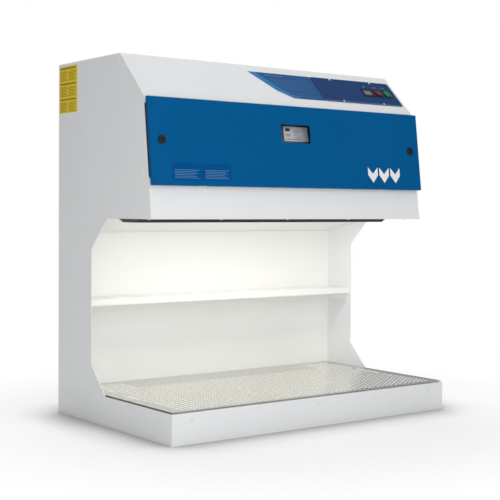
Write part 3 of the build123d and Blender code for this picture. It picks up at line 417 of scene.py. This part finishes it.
def foamed(name, colour, cell, depth, painted_glow=0.0):
    """Open foam or fibre: a cellular bump with pits darkened as painted shade, and where a glow
    is given, a painted glow of its own though it is no lamp, less of it under the finger slots
    as painted shade."""
    made, tree, shader = new_material(name)
    space = object_space(tree)
    cells = add_node(tree, "ShaderNodeTexVoronoi")
    cells.inputs["Scale"].default_value = 1 / cell
    tree.links.new(space, cells.inputs["Vector"])
    pits = spread(tree, cells.outputs["Distance"], 0, 1, 0.1, 0.6)
    # Painted shade and light: darker in the cells' pits and lighter on their ridges, following
    # the bump
    toned = blend_colours(tree, pits, shade(colour, 0.6), shade(colour, 1.15))
    tree.links.new(toned, shader.inputs["Base Color"])
    tree.links.new(bump(tree, pits, depth), shader.inputs["Normal"])
    shader.inputs["Roughness"].default_value = 0.95
    # Painted glow: the pad gives off light of its own, though it is no lamp, to brighten the
    # tray's holes, with less of it under the finger slots as painted shade
    if painted_glow:
        shader.inputs["Emission Color"].default_value = colour
        level = spread(tree, slot_zone(tree, space), painted_glow, painted_glow * SLOT_DIM, 0.0, 1.0)
        tree.links.new(level, shader.inputs["Emission Strength"])
    return made


def glowing(name, colour, strength):
    """A lit opal lens: its own light over a cloudy plastic."""
    made, tree, shader = new_material(name)
    fine = noise(tree, object_space(tree), LENS_GRAIN)
    cloudy = blend_colours(tree, spread(tree, fine, 0, 1), shade(colour, 0.92), colour)
    tree.links.new(cloudy, shader.inputs["Base Color"])
    shader.inputs["Roughness"].default_value = 0.35
    shader.inputs["Emission Color"].default_value = colour
    shader.inputs["Emission Strength"].default_value = strength
    return made


def clear_pane(name):
    """A thin clear pane with faint dust in its gloss."""
    made, tree, shader = new_material(name)
    dust = noise(tree, object_space(tree), DUST_SIZE, 3.0)
    shader.inputs["Base Color"].default_value = (0.95, 0.97, 0.98, 1)
    shader.inputs["Transmission Weight"].default_value = 1.0
    shader.inputs["IOR"].default_value = 1.1
    tree.links.new(spread(tree, dust, 0.0, 0.06), shader.inputs["Roughness"])
    return made


def make_materials():
    """Every material by its name, which for a CAD node is its slot in the record."""
    made = {
        "window_pane": clear_pane("window_pane"),
        "lamp_lens": glowing("lamp_lens", linear(*LENS_COLOUR), LAMP_LEVEL),
    }
    for recipe, table in ((coated, COATINGS), (brushed, METALS), (foamed, FOAMS)):
        for name, (colour, *rest) in table.items():
            made[name] = recipe(name, linear(*colour), *rest)
    return made


MATERIALS = make_materials()


# Planes that pieces sit on

def plane(origin, across, up):
    """Matrix whose X runs across, Y up the surface and Z out of it."""
    across, up = Vector(across).normalized(), Vector(up).normalized()
    out = across.cross(up)
    made = Matrix((across, up, out)).transposed().to_4x4()
    made.translation = Vector(origin)
    return made


FACE = plane(HEAD_FOOT, (1, 0, 0), BROW - HEAD_FOOT)
SLOPE = plane(BROW, (1, 0, 0), CROWN - BROW)
LEFT_SIDE = plane((-SIDE_X, 0, 0), (0, -1, 0), (0, 0, 1))
DOOR = FACE @ Matrix.Translation((0, 0, DOOR_PROUD))


def at_height(surface, z):
    """Distance up a surface at which the height is z."""
    return (z - surface.translation.z) / surface.col[1].z


# Outlines, as points across and up

def on_circle(x, y, radius, angle):
    """The point of a circle at an angle."""
    return x + radius * cos(angle), y + radius * sin(angle)


def ring_points(x, y, radius, sides):
    """Points of a circle."""
    return [on_circle(x, y, radius, 2 * pi * i / sides) for i in range(sides)]


def rectangle(left, right, low, high, corner=0.0):
    """A rectangle, with round corners if a corner radius is given."""
    if not corner:
        return [(left, low), (right, low), (right, high), (left, high)]
    centres = (
        (right - corner, high - corner, 0),
        (left + corner, high - corner, 1),
        (left + corner, low + corner, 2),
        (right - corner, low + corner, 3),
    )
    return [
        on_circle(x, y, corner, (turn + i / CORNER_STEPS) * pi / 2)
        for x, y, turn in centres
        for i in range(CORNER_STEPS + 1)
    ]


def shrunk(left, right, low, high, by):
    """The sides of a rectangle, drawn in by the same distance all round."""
    return left + by, right - by, low + by, high - by


def ruled(left, right, low, high, count, fill, ragged):
    """Evenly spaced bars with uneven right ends; fill is their share of the height."""
    pitch = (high - low) / count
    bars = []
    for i in range(count):
        end = right - ragged * ((i * 7) % 5) / 5 * (right - left)
        bars.append(rectangle(left, end, low + i * pitch, low + (i + fill) * pitch))
    return bars


# Pieces

def loft(shape, rings):
    """Bands of faces from each ring of points to the next, which may be a single point."""
    for lower, upper in zip(rings, rings[1:]):
        for i, corner in enumerate(lower):
            j = (i + 1) % len(lower)
            far = (upper[0],) if len(upper) == 1 else (upper[j], upper[i])
            shape.faces.new((corner, lower[j], *far))


def finish_piece(name, shape, material, body="cabinet"):
    """Makes a piece of its faces, gives it its material and lets it ride on its body."""
    bmesh.ops.recalc_face_normals(shape, faces=shape.faces)
    mesh = bpy.data.meshes.new(name)
    shape.to_mesh(mesh)
    shape.free()
    mesh.materials.append(MATERIALS[material])
    made = bpy.data.objects.new(name, mesh)
    bpy.context.scene.collection.objects.link(made)
    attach(made, body)
    return made


def plates(name, surface, outlines, material, body="cabinet", low=0.0):
    """Flat plates or printed marks on a surface, one for each outline."""
    shape = bmesh.new()
    for outline in outlines:
        rings = [
            [shape.verts.new(surface @ Vector((x, y, level))) for x, y in outline]
            for level in (low, low + FILM)
        ]
        shape.faces.new(rings[1])
        shape.faces.new(rings[0][::-1])
        loft(shape, rings)
    finish_piece(name, shape, material, body)


# Perforated work surface and the pad under it

def hole_centres():
    """Centres of the tray's holes, in rows that start near its front edge."""
    rows = int((HOLE_FIELD_REAR - HOLE_FIELD_FRONT) / ROW_PITCH) + 1
    columns = int(HOLE_FIELD_X / HOLE_PITCH) + 1
    land = SLOT_RADIUS + HOLE_RADIUS + SLOT_LAND
    centres = []
    for row in range(rows):
        y = HOLE_FIELD_FRONT + row * ROW_PITCH
        for column in range(-columns, columns + 1):
            x = (column + 0.5) * HOLE_PITCH
            blank = y > BLANK_START and abs(x) < BLANK_X
            in_slot = abs(abs(x) - SLOT_X) < land and abs(y - SLOT_Y) < SLOT_HALF + land
            if abs(x) <= HOLE_FIELD_X and not blank and not in_slot:
                centres.append((x, APRON_Y + y))
    return centres


def slot_points(x, y):
    """Outline of a finger slot that runs from front to rear."""
    return [
        on_circle(x, centre, SLOT_RADIUS, start + pi * i / SLOT_STEPS)
        for centre, start in ((y + SLOT_HALF, 0), (y - SLOT_HALF, pi))
        for i in range(SLOT_STEPS + 1)
    ]


def cut_sheet(loops):
    """A flat sheet's points, its triangles, and the points on each loop.
    The first loop is the sheet's outline, and the others are its holes."""
    points, edges, spans = [], [], []
    for loop in loops:
        span = range(len(points), len(points) + len(loop))
        points += [Vector(p) for p in loop]
        edges += zip(span, [*span[1:], span[0]])
        spans.append(span)
    found = delaunay_2d_cdt(points, edges, [], 0, SAME_CUT)
    verts, triangles, origins = found[0], found[2], found[3]
    place = {sources[0]: i for i, sources in enumerate(origins)}
    rings = [[place[i] for i in span] for span in spans]
    loop_of = {i: number for number, ring in enumerate(rings) for i in ring}
    kept = []
    for triangle in triangles:
        touched = {loop_of[i] for i in triangle}
        if len(touched) > 1 or touched == {0}:
            kept.append(triangle)
    return verts, kept, rings


def make_tray():
    """The perforated sheet with its downturned edges, in place of the plain one."""
    sides = (TRAY_LOW.x, TRAY_HIGH.x, TRAY_LOW.y, TRAY_HIGH.y)
    outline = rectangle(*sides)
    inner = rectangle(*shrunk(*sides, TRAY_FLANGE_INSET))
    holes = [ring_points(x, y, HOLE_RADIUS, HOLE_SIDES) for x, y in hole_centres()]
    holes += [slot_points(side * SLOT_X, APRON_Y + SLOT_Y) for side in (-1, 1)]
    points, triangles, rings = cut_sheet([outline, *holes])
    under = TRAY_HIGH.z - SHEET
    shape = bmesh.new()
    top = [shape.verts.new((p.x, p.y, TRAY_HIGH.z)) for p in points]
    for triangle in triangles:
        shape.faces.new([top[i] for i in triangle])
    for ring in rings[1:]:
        foot = [shape.verts.new((points[i].x, points[i].y, under)) for i in ring]
        loft(shape, [[top[i] for i in ring], foot])
    skirt = [[top[i] for i in rings[0]]]
    for loop, z in ((outline, under), (inner, under), (inner, TRAY_LOW.z)):
        skirt.append([shape.verts.new((x, y, z)) for x, y in loop])
    loft(shape, skirt)
    made = finish_piece("tray_sheet", shape, "tray_steel")
    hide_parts("work_surface")


def make_pad():
    """The soft pad under the sheet, swollen until it nearly touches the sheet."""
    low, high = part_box("prefilter")
    top = TRAY_HIGH.z - SHEET - PAD_GAP
    edge = (low.x, high.x, low.y, high.y)
    shoulder = (-PAD_CROWN_X, PAD_CROWN_X, low.y + PAD_SHOULDER, high.y - PAD_SHOULDER)
    crown = shrunk(*shoulder, PAD_SHOULDER)
    middle = (high.z + top) / 2
    shape = bmesh.new()
    rings = []
    for sides, z in ((edge, low.z), (edge, high.z - PAD_GAP), (shoulder, middle), (crown, top)):
        rings.append([shape.verts.new((x, y, z)) for x, y in rectangle(*sides, PAD_CORNER)])
    loft(shape, rings)
    shape.faces.new(rings[0][::-1])
    shape.faces.new(rings[-1])
    made = finish_piece("prefilter_pad", shape, "prefilter_media")
    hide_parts("prefilter")


# Screws

def islands(node):
    """Centre and size of each separate solid in a CAD node."""
    shape = bmesh.new()
    shape.from_mesh(nodes[node].data)
    bmesh.ops.remove_doubles(shape, verts=shape.verts, dist=SAME_POINT)
    reached = set()
    found = []
    for start in shape.verts:
        if start in reached:
            continue
        reached.add(start)
        group, queue = [], [start]
        while queue:
            vert = queue.pop()
            group.append(vert.co)
            fresh = {edge.other_vert(vert) for edge in vert.link_edges} - reached
            reached |= fresh
            queue += fresh
        low = Vector([min(p[i] for p in group) for i in range(3)])
        high = Vector([max(p[i] for p in group) for i in range(3)])
        found.append(((low + high) / 2, high - low))
    shape.free()
    return found


def screw_profile(radius, height):
    """Radius and height pairs of a pan head with a socket in its middle."""
    return [
        (radius, 0),
        (radius, height * 0.35),
        (radius * 0.92, height * 0.68),
        (radius * 0.74, height * 0.9),
        (radius * 0.5, height),
        (radius * 0.4, height),
        (radius * 0.34, height * 0.45),
        (0.0, height * 0.4),
    ]


def screw_heads(name, node, measure):
    """Turned screw heads in place of a node's plain ones; measure gives each head's
    direction, radius and height."""
    shape = bmesh.new()
    for centre, size in islands(node):
        out, radius, height = measure(centre, size)
        across = Vector((0, 0, 1)).cross(out)
        across = across.normalized() if across.length > 0.1 else Vector((1, 0, 0))
        local = plane(centre - out * height / 2, across, out.cross(across))
        rings = []
        for r, h in screw_profile(radius, height):
            ring = ring_points(0, 0, r, SCREW_SIDES if r else 1)
            rings.append([shape.verts.new(local @ Vector((x, y, h))) for x, y in ring])
        loft(shape, rings)
    made = finish_piece(name, shape, "screw_steel")
    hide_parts(node)


def square_head(centre, size):
    """Direction, radius and height of a head that lies square to an axis."""
    axis = min(range(3), key=lambda i: size[i])
    out = Vector((0, 0, 0))
    out[axis] = 1 if centre[axis] > CABINET_MIDDLE[axis] else -1
    return out, max(size) / 2, size[axis]


def slope_head(_, size):
    """Direction, radius and height of a head on the control slope."""
    return SLOPE.col[2].xyz, size.x / 2, PANEL_SCREW_HEIGHT


# Graphics, all plain marks

def control_graphics():
    """Light band, border rule, ruled bars and small marks on the control slope."""
    top, foot = 0.180, 0.045
    band = [
        (-0.093, top), (-0.010, 0.0825), (0.050, foot),
        (0.082, foot), (0.016, 0.088), (-0.062, top),
    ]
    plates("overlay_band", SLOPE, [band], "mark_sky", low=OVERLAY_PROUD)
    rule = rectangle(0.200, 0.590, foot + 0.003, foot + 0.0045)
    plates("panel_rule", SLOPE, [rule], "mark_pale", low=PANEL_PROUD)
    bars = [rectangle(-0.028, 0.060, 0.163, 0.170)]
    bars += ruled(-0.012, 0.176, 0.092, 0.154, 9, 0.2, 0.3)
    bars += ruled(0.030, 0.176, 0.056, 0.084, 4, 0.2, 0.3)
    plates("overlay_bars", SLOPE, bars, "mark_dim", low=OVERLAY_PROUD)
    places = ((0.452, 0.003), (0.500, 0.002), (0.512, 0.002), (0.5465, 0.002), (0.5585, 0.002))
    marks = [rectangle(x - half, x + half, 0.145, 0.151) for x, half in places]
    plates("panel_marks", SLOPE, marks, "mark_pale", low=PANEL_PROUD)


def arrow_outline(left, right, low, high, grow):
    """A thick arrow that points down, notched at the top, and larger by grow all round."""
    middle = (left + right) / 2
    shoulder = high - ARROW_SHOULDER - grow * 0.4
    notch = low + (high - low) / 2 * 1.15 + grow * 0.4
    return [
        (left - grow, high + grow),
        (left - grow, shoulder),
        (middle, low - grow * 1.6),
        (right + grow, shoulder),
        (right + grow, high + grow),
        (middle, notch),
    ]


def door_graphics():
    """Three down arrows, and a plain patch in two halves with ruled bars, on the door."""
    low, high = at_height(DOOR, ARROW_LOW), at_height(DOOR, ARROW_HIGH)
    pitch = (ARROWS_RIGHT - ARROWS_LEFT) / ARROW_COUNT
    edges, arrows = [], []
    for i in range(ARROW_COUNT):
        left = ARROWS_LEFT + i * pitch + ARROW_GAP
        right = ARROWS_LEFT + (i + 1) * pitch - ARROW_GAP
        edges.append(arrow_outline(left, right, low, high, ARROW_EDGE))
        arrows.append(arrow_outline(left, right, low, high, 0.0))
    plates("arrow_edges", DOOR, edges, "mark_navy", "door")
    plates("arrow_marks", DOOR, arrows, "mark_white", "door", low=FILM)
    low, high = at_height(DOOR, PATCH_LOW), at_height(DOOR, PATCH_HIGH)
    halves = [
        rectangle(PATCH_LEFT, PATCH_MIDDLE - PATCH_SEAM, low, high, PATCH_CORNER),
        rectangle(PATCH_MIDDLE + PATCH_SEAM, PATCH_RIGHT, low, high, PATCH_CORNER),
    ]
    plates("patches", DOOR, halves, "patch_blue", "door")
    columns = (
        (PATCH_LEFT + PATCH_MARGIN, PATCH_MIDDLE - PATCH_SEAM_MARGIN),
        (PATCH_MIDDLE + PATCH_SEAM_MARGIN, PATCH_RIGHT - PATCH_MARGIN),
    )
    bars = []
    for start, end in columns:
        bars += ruled(start, end, low + 0.008, high - 0.018, 6, 0.26, 0.25)
    plates("patch_bars", DOOR, bars, "mark_faint", "door", low=FILM)


def side_sticker():
    """A plain yellow plate with blocks of ruled bars, high on the left side."""
    left, right = -(APRON_Y + STICKER_REAR), -(APRON_Y + STICKER_FRONT)
    middle = (left + right) / 2
    plate = rectangle(left, right, STICKER_LOW, STICKER_HIGH, STICKER_CORNER)
    plates("sticker", LEFT_SIDE, [plate], "sticker_yellow")
    columns = (
        (left + STICKER_MARGIN, middle - STICKER_MARGIN / 2),
        (middle + STICKER_MARGIN / 2, right - STICKER_MARGIN),
    )
    height = (STICKER_HIGH - STICKER_LOW) / STICKER_BLOCKS
    bars = []
    for block in range(STICKER_BLOCKS):
        foot = STICKER_LOW + block * height
        top = foot + height
        bars.append(rectangle(left + STICKER_MARGIN, right - 0.010, top - 0.010, top - 0.0055))
        for start, end in columns:
            bars += ruled(start, end, foot + 0.005, top - 0.015, 7, 0.3, 0.35)
    plates("sticker_bars", LEFT_SIDE, bars, "print_olive", low=FILM)


def filter_label_bars():
    """Plain dark bars on the label of the main filter, behind the door's window."""
    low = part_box("filter_label")[0]
    up = Vector((0, sin(FILTER_TILT), cos(FILTER_TILT)))
    surface = plane((0, low.y, low.z + LABEL_RISE), (1, 0, 0), up)
    bars = [rectangle(-0.014, 0.006, 0.036, 0.047), rectangle(-0.016, 0.058, 0.0065, 0.0085)]
    bars += ruled(-0.014, 0.010, 0.018, 0.028, 2, 0.4, 0.2)
    bars += ruled(0.022, 0.056, 0.014, 0.046, 5, 0.22, 0.4)
    plates("filter_label_bars", surface, bars, "print_black")


# Dressing of the CAD nodes

def dress(node, material):
    """Puts a material in every slot of a CAD node."""
    slots = nodes[node].data.materials
    if not slots:
        slots.append(None)
    for i in range(len(slots)):
        slots[i] = MATERIALS[material]


def dress_nodes():
    """Gives every CAD node its record material and rounds the sheet edges a little."""
    for part in frame["record"]["subparts"]:
        dress(part["node"], part["material_slot"])
    for name in LOCK_NODES:
        dress(name, "lock_black")
    for name in BEVELLED:
        soft = nodes[name].modifiers.new("edges", "BEVEL")
        soft.width = EDGE_WIDTH
        soft.segments = 2
        soft.limit_method = "ANGLE"
        soft.angle_limit = EDGE_ANGLE


# Studio

def floor_material():
    """Pale ground, darkened with painted shade where the cabinet stands, that fades to the
    backdrop's white.
    """
    made, tree, shader = new_material("floor")
    # Painted shade: occlusion darkens the floor's colour and its lift near the cabinet, on top
    # of the shadow the lights cast
    nearby = add_node(tree, "ShaderNodeAmbientOcclusion")
    nearby.inputs["Distance"].default_value = CONTACT_REACH
    contact_shade = spread(tree, nearby.outputs["AO"], CONTACT_DARK, 1.0, 0.5, 1.0)
    ground = blend_colours(tree, contact_shade, (0, 0, 0, 1), FLOOR_COLOUR)
    tree.links.new(ground, shader.inputs["Base Color"])
    shader.inputs["Roughness"].default_value = 0.9
    shader.inputs["Specular IOR Level"].default_value = 0.1
    seen = seen_rays(tree, add_node(tree, "ShaderNodeLightPath"))
    distance = add_node(tree, "ShaderNodeVectorMath", operation="LENGTH")
    tree.links.new(object_space(tree), distance.inputs[0])
    far = spread(tree, distance.outputs["Value"], 0.0, 1.0, FADE_START, FADE_END)
    level = spread(tree, contact_shade, 0.0, FLOOR_LIFT, 0.0, 1.0)
    lifted = add_node(tree, "ShaderNodeAddShader")
    tree.links.new(shader.outputs[0], lifted.inputs[0])
    tree.links.new(emission(tree, calculate(tree, "MULTIPLY", seen, level)), lifted.inputs[1])
    faded = add_node(tree, "ShaderNodeMixShader")
    tree.links.new(calculate(tree, "MULTIPLY", far, seen), faded.inputs["Fac"])
    tree.links.new(lifted.outputs[0], faded.inputs[1])
    tree.links.new(emission(tree, 1.0), faded.inputs[2])
    tree.links.new(faded.outputs[0], tree.nodes["Material Output"].inputs["Surface"])
    return made


def make_floor():
    """The floor, large enough to reach past every view."""
    bpy.ops.mesh.primitive_plane_add(size=FLOOR_SIZE, location=(0, 0, 0))
    floor = bpy.context.object
    floor.name = "floor"
    floor.data.materials.append(floor_material())


def make_world():
    """White where the camera sees it, a plain level as a light, and cooler in gloss."""
    world = bpy.data.worlds.new("studio")
    bpy.context.scene.world = world
    world.use_nodes = True
    tree = world.node_tree
    background = tree.nodes["Background"]
    path = add_node(tree, "ShaderNodeLightPath")
    seen, gloss = seen_rays(tree, path), path.outputs["Is Glossy Ray"]
    lit = spread(tree, gloss, WORLD_LEVEL, GLOSS_LEVEL, 0.0, 1.0)
    tree.links.new(blend_values(tree, seen, lit, 1.0), background.inputs["Strength"])
    room = blend_colours(tree, gloss, WHITE, GLOSS_TINT)
    tree.links.new(blend_colours(tree, seen, room, WHITE), background.inputs["Color"])


def make_lights():
    """A large key from the front right, a weak fill from the left, one above, one low into
    the mouth and one behind, each a soft rectangle aimed at a point."""
    for name, place, target, size, power in AREA_LIGHTS:
        light = bpy.data.lights.new(name, "AREA")
        light.shape = "RECTANGLE"
        light.size, light.size_y = size
        light.energy = power
        made = bpy.data.objects.new(name, light)
        bpy.context.scene.collection.objects.link(made)
        made.location = place
        made.rotation_mode = "QUATERNION"
        made.rotation_quaternion = (Vector(target) - Vector(place)).to_track_quat("-Z", "Y")


def make_camera():
    """The photograph's camera."""
    forward = Vector((
        sin(CAMERA_HEADING) * cos(CAMERA_PITCH),
        cos(CAMERA_HEADING) * cos(CAMERA_PITCH),
        sin(CAMERA_PITCH),
    ))
    level = Vector((cos(CAMERA_HEADING), -sin(CAMERA_HEADING), 0))
    upright = level.cross(forward)
    right = level * cos(CAMERA_ROLL) + upright * sin(CAMERA_ROLL)
    up = upright * cos(CAMERA_ROLL) - level * sin(CAMERA_ROLL)
    data = bpy.data.cameras.new("camera")
    data.lens = CAMERA_LENS
    data.sensor_width = CAMERA_SENSOR
    data.shift_y = CAMERA_SHIFT
    camera = bpy.data.objects.new("camera", data)
    bpy.context.scene.collection.objects.link(camera)
    turn = Matrix((right, up, -forward)).transposed().to_4x4()
    camera.matrix_world = Matrix.Translation(CAMERA_PLACE) @ turn
    bpy.context.scene.camera = camera


dress_nodes()
make_tray()
make_pad()
screw_heads("side_screw_heads", "side_screws", square_head)
screw_heads("cabinet_screw_heads", "cabinet_screws", square_head)
screw_heads("panel_screw_heads", "panel_screws", slope_head)
control_graphics()
door_graphics()
side_sticker()
filter_label_bars()
make_floor()
make_world()
make_lights()
make_camera()

view = bpy.context.scene.view_settings
view.view_transform = "Standard"
